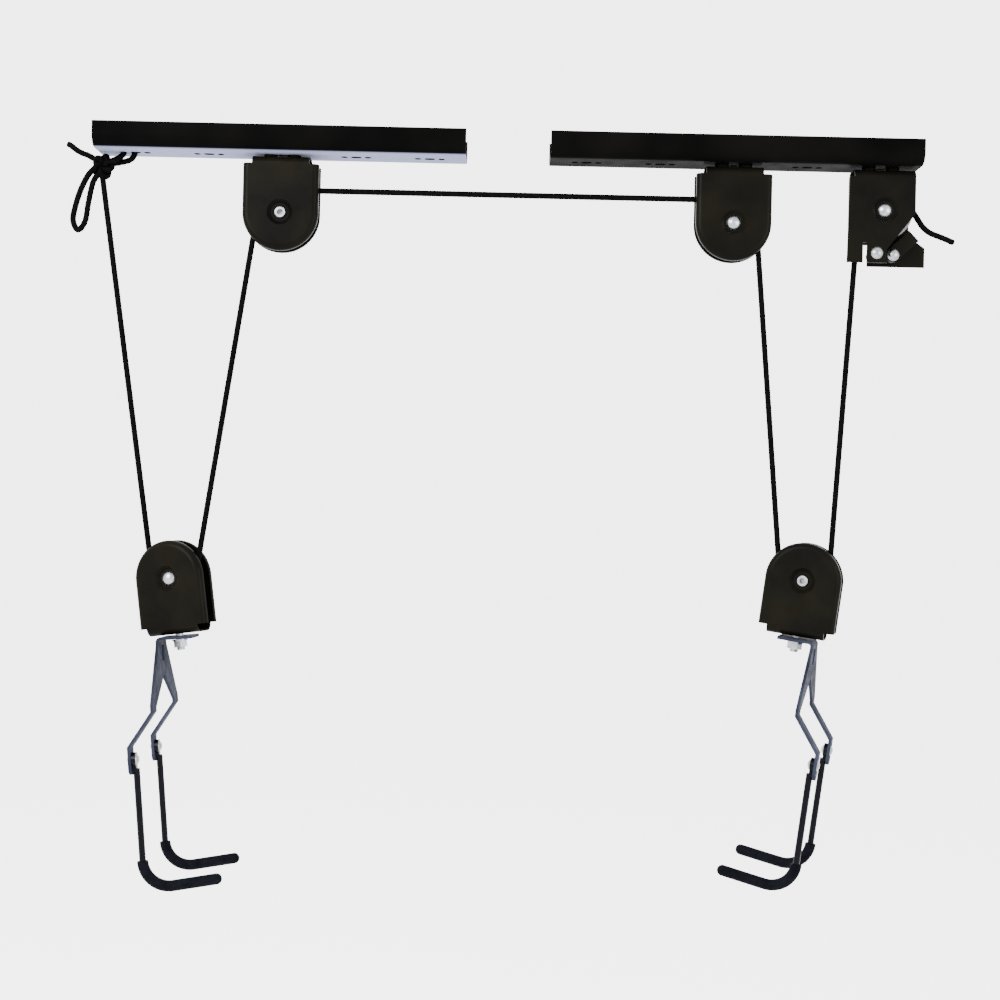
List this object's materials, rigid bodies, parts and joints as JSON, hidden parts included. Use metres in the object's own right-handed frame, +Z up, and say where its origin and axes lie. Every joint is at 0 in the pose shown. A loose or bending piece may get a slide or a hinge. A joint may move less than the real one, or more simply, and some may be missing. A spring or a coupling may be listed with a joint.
{
  "type": "ceiling mounted pulley rack",
  "caption": "Ceiling hoist with two slotted rails, pulley housings, one rope, a rope lock and two pulley blocks with sleeved double hooks that rise together.",
  "frame": {"origin": "middle of the rack on the ceiling plane, midway between the two rails", "axes": "+X along the rails from the tied end of the rope to the lock, +Y away from the viewer, +Z up into the ceiling"},
  "size_m": [0.9064, 0.1395, 0.7662],
  "materials": {
    "black_enamel": "gloss black enamel",
    "slate_paint": "blue-grey semi-gloss paint",
    "rod_paint": "gloss black paint",
    "zinc_steel": "bright zinc plate",
    "black_nylon": "moulded nylon",
    "hook_rubber": "matte dark slate rubber",
    "black_rope": "braided black rope"
  },
  "bodies": {
    "root": {"left_rail": "black_enamel", "right_rail": "black_enamel", "left_top_housing": "black_enamel", "right_top_housing": "black_enamel", "lock_housing": "black_enamel", "left_top_axle": "zinc_steel", "right_top_axle": "zinc_steel", "lock_axle": "zinc_steel", "housing_bolts": "zinc_steel", "housing_nuts": "zinc_steel", "housing_spacers": "black_enamel", "lock_cam_rivet": "zinc_steel", "lock_stop_rivet": "zinc_steel", "rope_anchor_loop": "black_rope", "rope_knot": "black_rope", "rope_bow": "black_rope", "rope_tail": "black_rope", "rope_fall_1": "black_rope", "rope_fall_2": "black_rope", "rope_top_run": "black_rope", "rope_fall_3": "black_rope", "rope_fall_4": "black_rope", "rope_lock_wrap": "black_rope", "rope_pull_end": "black_rope"},
    "left_top_wheel": {"left_top_wheel": "black_nylon"},
    "right_top_wheel": {"right_top_wheel": "black_nylon"},
    "lock_wheel": {"lock_wheel": "black_nylon"},
    "lock_cam": {"lock_cam": "black_enamel"},
    "left_carrier": {"left_block_axle": "zinc_steel", "rope_left_bight": "black_rope"},
    "left_block_wheel": {"left_block_wheel": "black_nylon"},
    "left_block": {"left_block_housing": "black_enamel", "left_swivel_bolt": "zinc_steel", "left_swivel_nut": "zinc_steel"},
    "left_hook": {"left_hanger": "slate_paint", "left_hook_rivets": "zinc_steel"},
    "left_front_rod": {"left_front_rod": "rod_paint", "left_front_sleeve": "hook_rubber"},
    "left_back_rod": {"left_back_rod": "rod_paint", "left_back_sleeve": "hook_rubber"},
    "right_carrier": {"right_block_axle": "zinc_steel", "rope_right_bight": "black_rope"},
    "right_block_wheel": {"right_block_wheel": "black_nylon"},
    "right_block": {"right_block_housing": "black_enamel", "right_swivel_bolt": "zinc_steel", "right_swivel_nut": "zinc_steel"},
    "right_hook": {"right_hanger": "slate_paint", "right_hook_rivets": "zinc_steel"},
    "right_front_rod": {"right_front_rod": "rod_paint", "right_front_sleeve": "hook_rubber"},
    "right_back_rod": {"right_back_rod": "rod_paint", "right_back_sleeve": "hook_rubber"}
  },
  "joints": [
    {"name": "left_lift", "type": "slide", "parent": "root", "child": "left_carrier", "axis": [0, 0, 1], "range_m": [0, 0.25], "deforming": ["rope_fall_1", "rope_fall_2"]},
    {"name": "right_lift", "type": "slide", "parent": "root", "child": "right_carrier", "axis": [0, 0, 1], "range_m": [0, 0.25], "deforming": ["rope_fall_3", "rope_fall_4"]},
    {"name": "left_top_wheel_spin", "type": "hinge", "parent": "root", "child": "left_top_wheel", "pos_m": [-0.23, 0, -0.0845], "axis": [0, 1, 0], "continuous": true},
    {"name": "right_top_wheel_spin", "type": "hinge", "parent": "root", "child": "right_top_wheel", "pos_m": [0.23, 0, -0.0845], "axis": [0, 1, 0], "continuous": true},
    {"name": "lock_wheel_spin", "type": "hinge", "parent": "root", "child": "lock_wheel", "pos_m": [0.383, 0, -0.0685], "axis": [0, 1, 0], "continuous": true},
    {"name": "lock_cam_turn", "type": "hinge", "parent": "root", "child": "lock_cam", "pos_m": [0.394, 0, -0.1125], "axis": [0, 1, 0], "range_deg": [0, 30], "stiffness_Nm_per_rad": 0.02, "springref_deg": -57.3},
    {"name": "left_block_wheel_spin", "type": "hinge", "parent": "left_carrier", "child": "left_block_wheel", "pos_m": [-0.3315, 0, -0.458], "axis": [0.3338, 0.9426, 0], "continuous": true},
    {"name": "left_block_swing", "type": "hinge", "parent": "left_carrier", "child": "left_block", "pos_m": [-0.3315, 0, -0.458], "axis": [0.3338, 0.9426, 0], "range_deg": [-15, 15]},
    {"name": "left_hook_swivel", "type": "hinge", "parent": "left_block", "child": "left_hook", "pos_m": [-0.32331, -0.0029, -0.51686], "axis": [-0.0887, 0.0314, 0.9956], "continuous": true},
    {"name": "left_front_rod_swing", "type": "hinge", "parent": "left_hook", "child": "left_front_rod", "pos_m": [-0.35397, -0.05656, -0.63392], "axis": [-0.9961, -0.0014, -0.0887], "range_deg": [-15, 25]},
    {"name": "left_back_rod_swing", "type": "hinge", "parent": "left_hook", "child": "left_back_rod", "pos_m": [-0.35383, 0.04339, -0.63706], "axis": [-0.9961, -0.0014, -0.0887], "range_deg": [-25, 15]},
    {"name": "right_block_wheel_spin", "type": "hinge", "parent": "right_carrier", "child": "right_block_wheel", "pos_m": [0.3115, 0, -0.446], "axis": [0.3338, 0.9426, 0], "continuous": true},
    {"name": "right_block_swing", "type": "hinge", "parent": "right_carrier", "child": "right_block", "pos_m": [0.3115, 0, -0.446], "axis": [0.3338, 0.9426, 0], "range_deg": [-15, 15]},
    {"name": "right_hook_swivel", "type": "hinge", "parent": "right_block", "child": "right_hook", "pos_m": [0.30466, 0.00242, -0.50506], "axis": [0.1149, -0.0407, 0.9925], "continuous": true},
    {"name": "right_front_rod_swing", "type": "hinge", "parent": "right_hook", "child": "right_front_rod", "pos_m": [0.31307, -0.0536, -0.62469], "axis": [0.9356, -0.3313, -0.1219], "range_deg": [-25, 15]},
    {"name": "right_back_rod_swing", "type": "hinge", "parent": "right_hook", "child": "right_back_rod", "pos_m": [0.34645, 0.04067, -0.62469], "axis": [0.9356, -0.3313, -0.1219], "range_deg": [-15, 25]}
  ],
  "couplings": [
    {"joint": "right_lift", "follows": "left_lift", "ratio": 1},
    {"joint": "left_block_wheel_spin", "follows": "left_lift", "rad_per_m": -40.816},
    {"joint": "left_top_wheel_spin", "follows": "left_lift", "rad_per_m": 81.633},
    {"joint": "right_top_wheel_spin", "follows": "left_lift", "rad_per_m": 81.633},
    {"joint": "right_block_wheel_spin", "follows": "left_lift", "rad_per_m": -122.45},
    {"joint": "lock_wheel_spin", "follows": "left_lift", "rad_per_m": 163.27}
  ]
}
